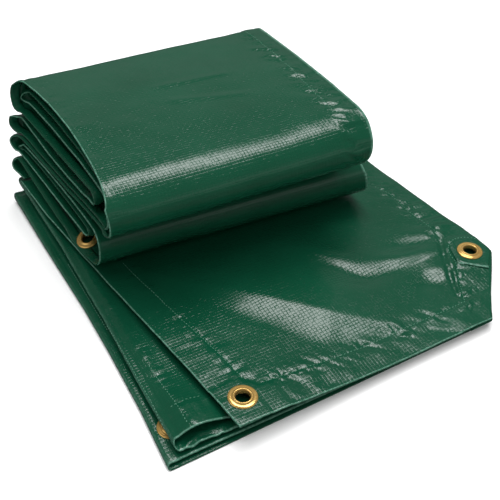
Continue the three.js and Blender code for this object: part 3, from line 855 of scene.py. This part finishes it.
def threadMaterial():
    thread = bpy.data.materials.new("stitchThread")
    thread.use_nodes = True
    nodes, links = thread.node_tree.nodes, thread.node_tree.links
    shader = nodes["Principled BSDF"]
    place = nodes.new("ShaderNodeTexCoord")
    twist = nodes.new("ShaderNodeTexNoise")
    twist.inputs["Scale"].default_value = 900
    links.new(place.outputs["Object"], twist.inputs["Vector"])
    tint = nodes.new("ShaderNodeMix")
    tint.data_type = "RGBA"
    tint.inputs[6].default_value = (0.03, 0.13, 0.08, 1)
    tint.inputs[7].default_value = (0.14, 0.31, 0.22, 1)
    links.new(twist.outputs["Fac"], tint.inputs[0])
    links.new(tint.outputs[2], shader.inputs["Base Color"])
    shader.inputs["Roughness"].default_value = 0.4
    return thread


tarpGreen = tarpMaterial()
brassLook = brassMaterial()
threadLook = threadMaterial()

stackCloth = clothSheet("stackCloth", stackColumns, section, stackPlace,
                        holes=[(eyeletAt["stackEdge"], 15, 36)])
addMaterial(stackCloth, tarpGreen)
print("stack folded", len(section), len(stackColumns))

flapCloth = clothSheet("flapCloth", flapColumns, flapRows, flapPlace,
                       holes=[(eyeletAt["flapCorner"], 14, 40), (eyeletAt["cornerTab"], 9, 40)])
addMaterial(flapCloth, tarpGreen)
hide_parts("tarp_cloth", "flap_hem_strip")
print("flap laid", len(flapRows), len(flapColumns))

baseCloth = clothSheet("baseCloth", baseColumns(), baseRows, basePlace,
                       holes=[(eyeletAt["floorCorner"], 1.5, 7.5)])
addMaterial(baseCloth, tarpGreen)
print("base folded", len(baseRows), len(baseColumns()))

# the corner's doubled cloth
tab = dict(
    lower=[(137, -128), (157.5, -146.5)], upper=[(150, -86), (175.3, -96)],
    right=[(0, 157.5, -146.5), (0.42, 176, -127.5), (1, 175.3, -96)],
    deep=34, cells=30, rightEdge=175,
    lift=1.15, sunk=2.1, creaseSunk=0.8,
    ringRadius=20, ringDepth=0.4, ringWidth=1.2,     # stitched round the eyelet
    farIn=200,                                       # a hem wider than the whole tab
)


def tabPlace(u, v):   # u runs from the crease to the right edge, and v up from the lower edge
    inward, turned = turnedEdge(v, tab["farIn"])
    up = inward / tab["deep"]
    leftX, leftY = (mix(a, b, up) for a, b in zip(tab["lower"][0], tab["upper"][0]))
    rightX = readRow([(at, x) for at, x, y in tab["right"]], up)
    rightY = readRow([(at, y) for at, x, y in tab["right"]], up)
    x, y = mix(leftX, rightX, u), mix(leftY, rightY, u)
    height = flapRelief(x, y, base["margin"], tab["rightEdge"] - x)[0]
    height = height * smooth(u / 0.2) + tab["lift"]
    height -= tab["sunk"] * smooth((up - 0.7) / 0.3)
    height -= tab["creaseSunk"] * (1 - smooth(u / 0.12))
    eyeletX, eyeletY = eyeletAt["cornerTab"]
    ringOff = math.hypot(x - eyeletX, y - eyeletY) - tab["ringRadius"]
    height -= tab["ringDepth"] * hump(ringOff, tab["ringWidth"])
    worked = 0.35 + 0.6 * hump(ringOff, 3) + 0.5 * hump(inward - 3, 3)
    return Vector((x, y, flapZ(x, y) + height + turned)), (x, y), worked, rimOf(v)


tabColumns = spaced((0, 1, 1 / tab["cells"]))
tabRows = turnedSpots(3) + spaced((0, tab["deep"] - 1, 1.1))
cornerTab = clothSheet("cornerTab", tabColumns, tabRows, tabPlace, holes=[(eyeletAt["cornerTab"], 9, 40)])
addMaterial(cornerTab, tarpGreen)
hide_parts("corner_tab")
print("corner tab laid")

bpy.context.view_layer.update()
graph = bpy.context.evaluated_depsgraph_get()
surfaces = {}
for piece in (stackCloth, flapCloth, baseCloth, cornerTab):
    surfaces[piece.name] = BVHTree.FromObject(piece, graph)


def onCloth(names, x, y):   # the highest cloth at a place, in metres, and the way it faces
    start = onTable(x, y, cloth["rayFrom"])
    best = None
    for name in names:
        spot, facing, face, distance = surfaces[name].ray_cast(start, Vector((0, 0, -1)))
        if spot and (best is None or spot.z > best[0].z):
            best = (spot, facing if facing.z > 0 else -facing)
    return best


eyelets = dict(
    hole=6.2, barrel=7.6, flange=12, turns=56,
    seatRadius=10.5, seatRays=12,      # where the cloth's height is felt for under the flange
    seatLift=0.6,                      # above the middle of the CAD ring
    # name, CAD node, place, and the slope of the cloth there in X and Y
    spots=[
        ("flapCornerEyelet", "eyelet_flap_corner", "flapCorner", -0.045, 0.0),
        ("cornerTabEyelet", "eyelet_corner_tab", "cornerTab", 0.0, 0.02),
        ("floorCornerEyelet", "eyelet_floor_corner", "floorCorner", 0.0, 0.0),
        ("stackEdgeEyelet", "eyelet_stack_edge", "stackEdge", 0.36, 0.1),
    ],
)


def eyeletSection():   # half a section, from the flange's rim over the lip, down the bore and out below
    hole, barrel, flange = eyelets["hole"], eyelets["barrel"], eyelets["flange"]
    return [
        (flange, 0.1), (flange - 0.1, 0.55), (flange - 0.9, 0.95), (flange - 2.2, 1.1),
        (flange - 3.3, 1.15), (flange - 3.8, 1.45), (barrel + 0.1, 1.95), (barrel - 0.6, 2.0),
        (hole + 0.25, 1.7), (hole, 1.1), (hole, -2.6), (hole + 0.4, -3.0), (barrel + 0.8, -3.0),
        (flange - 0.8, -2.6), (flange, -2.2), (flange - 0.6, -1.9), (barrel, -1.9), (barrel, 0.1),
    ]


def makeEyelet(name, nodeName, slopeX, slopeY, seat):
    form = bmesh.new()
    points = [form.verts.new((r * cloth["mm"], 0, z * cloth["mm"])) for r, z in eyeletSection()]
    edges = [form.edges.new(pair) for pair in zip(points, points[1:] + points[:1])]
    bmesh.ops.spin(form, geom=points + edges, cent=(0, 0, 0), axis=(0, 0, 1), angle=2 * math.pi,
                   steps=eyelets["turns"], use_merge=True)
    bmesh.ops.remove_doubles(form, verts=form.verts, dist=1e-6)
    bmesh.ops.recalc_face_normals(form, faces=form.faces)
    turn = Vector((0, 0, 1)).rotation_difference(Vector((-slopeX, -slopeY, 1))).to_matrix().to_4x4()
    bmesh.ops.transform(form, matrix=Matrix.Translation(seat) @ turn, verts=form.verts)
    ring = meshObject(name, form)
    addMaterial(ring, brassLook)
    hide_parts(nodeName)
    return ring


def rimSeat(names, x, y, slopeX, slopeY):   # the middle of an eyelet whose flange lies on the cloth
    found = []
    for k in range(eyelets["seatRays"]):
        angle = 2 * math.pi * k / eyelets["seatRays"]
        dx, dy = eyelets["seatRadius"] * math.cos(angle), eyelets["seatRadius"] * math.sin(angle)
        spot = onCloth(names, x + dx, y + dy)
        if spot:
            found.append(spot[0].z - (slopeX * dx + slopeY * dy) * cloth["mm"])
    found.sort()
    seat = onTable(x, y)
    seat.z = found[len(found) * 2 // 3]      # the highest wrinkles may press into the flange
    return seat


for name, nodeName, where, slopeX, slopeY in eyelets["spots"]:
    if where in ("flapCorner", "cornerTab"):
        seat = rimSeat(["flapCloth", "cornerTab"], *eyeletAt[where], slopeX, slopeY)
    else:
        low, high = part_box(nodeName)
        seat = (Vector(low) + Vector(high)) / 2
        seat.z += eyelets["seatLift"] * cloth["mm"]
    makeEyelet(name, nodeName, slopeX, slopeY, seat)

stitches = dict(halfSizes=(1.05, 0.4, 0.35), pitch=3.3)
ringX, ringY = eyeletAt["cornerTab"]
ringStitches = []
for k in range(6, 44):
    ringStitches.append((ringX + tab["ringRadius"] * math.cos(k / 10),
                         ringY + tab["ringRadius"] * math.sin(k / 10)))
# the pieces that a seam's stitches lie on, and the line that they follow
seamLines = [
    (["flapCloth"], flap["frontSeam"]),
    (["flapCloth"], [(-136, 20), (-128, -26), (-121, -68), (-113, -109), (-108, -140), (-107, -153)]),
    (["flapCloth"], flap["rightSeam"][1:]),
    (["flapCloth"], flap["bandSeam"]),
    (["flapCloth", "cornerTab"], ringStitches),
    (["stackCloth"], [(80.5, 175), (80.5, 144), (78, 84), (75, 44), (73, 8), (71, -6)]),
    (["baseCloth"], [(-167, -149), (-155, -148), (-141, -149)]),
    (["baseCloth"], [(-164, -100), (-163, -146), (-164, -170)]),
    (["baseCloth"], [(-177, 60), (-176.5, -60), (-177.5, -130), (-180, -170)]),
]


def makeStitches():
    form = bmesh.new()
    scale = Matrix.Diagonal((*[half * cloth["mm"] for half in stitches["halfSizes"]], 1))
    for names, line in seamLines:
        carried = 0
        for (ax, ay), (bx, by) in zip(line, line[1:]):
            heading = Vector((bx - ax, by - ay, 0))
            length = math.hypot(bx - ax, by - ay)
            at = carried
            while at < length:
                found = onCloth(names, mix(ax, bx, at / length), mix(ay, by, at / length))
                at += stitches["pitch"]
                if not found:
                    continue
                spot, facing = found
                ahead = (heading - facing * heading.dot(facing)).normalized()
                axes = Matrix((ahead, facing.cross(ahead), facing)).transposed().to_4x4()
                bmesh.ops.create_icosphere(form, subdivisions=1, radius=1,
                                           matrix=Matrix.Translation(spot) @ axes @ scale)
            carried = at - length
    return meshObject("hemStitches", form)


hemStitches = makeStitches()
addMaterial(hemStitches, threadLook)
print("hems stitched")

# Floor, light and camera
room = dict(
    floorSize=12, floorTint=(0.93, 0.93, 0.93, 1),
    skyTint=(1, 1, 1, 1), skyStrength=0.12,
    aim=(0, 0, 0.06),
    softboxes=[
        # name, way and height in degrees, how far, size, brightness and whether the gloss mirrors it
        ("keySoftbox", 43, 68, 1.7, (0.98, 0.44), 8.8, True),
        ("backCard", 28, 26, 2.0, (2.2, 0.8), 0.22, True),
        ("frontCard", 152, 26, 2.0, (1.7, 0.5), 0.4, True),
        ("frontFill", 165, 42, 2.0, (1.8, 0.9), 2.0, False),
        ("leftCard", 275, 30, 2.0, (1.6, 1.2), 0.8, True),
        ("overheadFill", 20, 84, 2.2, (2.6, 2.6), 3.1, False),
    ],
)
form = bmesh.new()
bmesh.ops.create_grid(form, x_segments=2, y_segments=2, size=room["floorSize"] / 2)
floor = meshObject("floor", form, smoothFaces=False)
floorLook = bpy.data.materials.new("paleFloor")
floorLook.use_nodes = True
floorShader = floorLook.node_tree.nodes["Principled BSDF"]
floorShader.inputs["Base Color"].default_value = room["floorTint"]
floorShader.inputs["Roughness"].default_value = 0.9
floor.data.materials.append(floorLook)
floor.visible_glossy = False      # the gloss shows the dim room, as in a studio with a small table
floor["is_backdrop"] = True

sky = bpy.data.worlds.new("studioSky")
sky.use_nodes = True
skyShader = sky.node_tree.nodes["Background"]
skyShader.inputs["Color"].default_value = room["skyTint"]
skyShader.inputs["Strength"].default_value = room["skyStrength"]
bpy.context.scene.world = sky

for name, way, rise, far, size, brightness, mirrored in room["softboxes"]:
    light = bpy.data.lights.new(name, "AREA")
    light.shape = "RECTANGLE"
    light.size, light.size_y = size
    light.energy = brightness * math.pi * size[0] * size[1]
    lamp = bpy.data.objects.new(name, light)
    bpy.context.collection.objects.link(lamp)
    way, rise = math.radians(way), math.radians(rise)
    toLamp = Vector((math.sin(way) * math.cos(rise), math.cos(way) * math.cos(rise), math.sin(rise)))
    lamp.location = Vector(room["aim"]) + far * toLamp
    lamp.rotation_euler = (-toLamp).to_track_quat("-Z", "Y").to_euler()
    lamp.visible_glossy = mirrored
    lamp.visible_camera = False

view = dict(place=(-0.29833, -0.5193, 0.51064), down=40.8, right=29.5, lens=57.53, sensor=36)
cameraData = bpy.data.cameras.new("photoCamera")
cameraData.lens = view["lens"]
cameraData.sensor_width = view["sensor"]
camera = bpy.data.objects.new("photoCamera", cameraData)
bpy.context.collection.objects.link(camera)
camera.location = view["place"]
camera.rotation_euler = (math.radians(90 - view["down"]), 0, math.radians(-view["right"]))
bpy.context.scene.camera = camera
bpy.context.scene.view_settings.view_transform = "Standard"
print("room lit")

low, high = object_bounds()
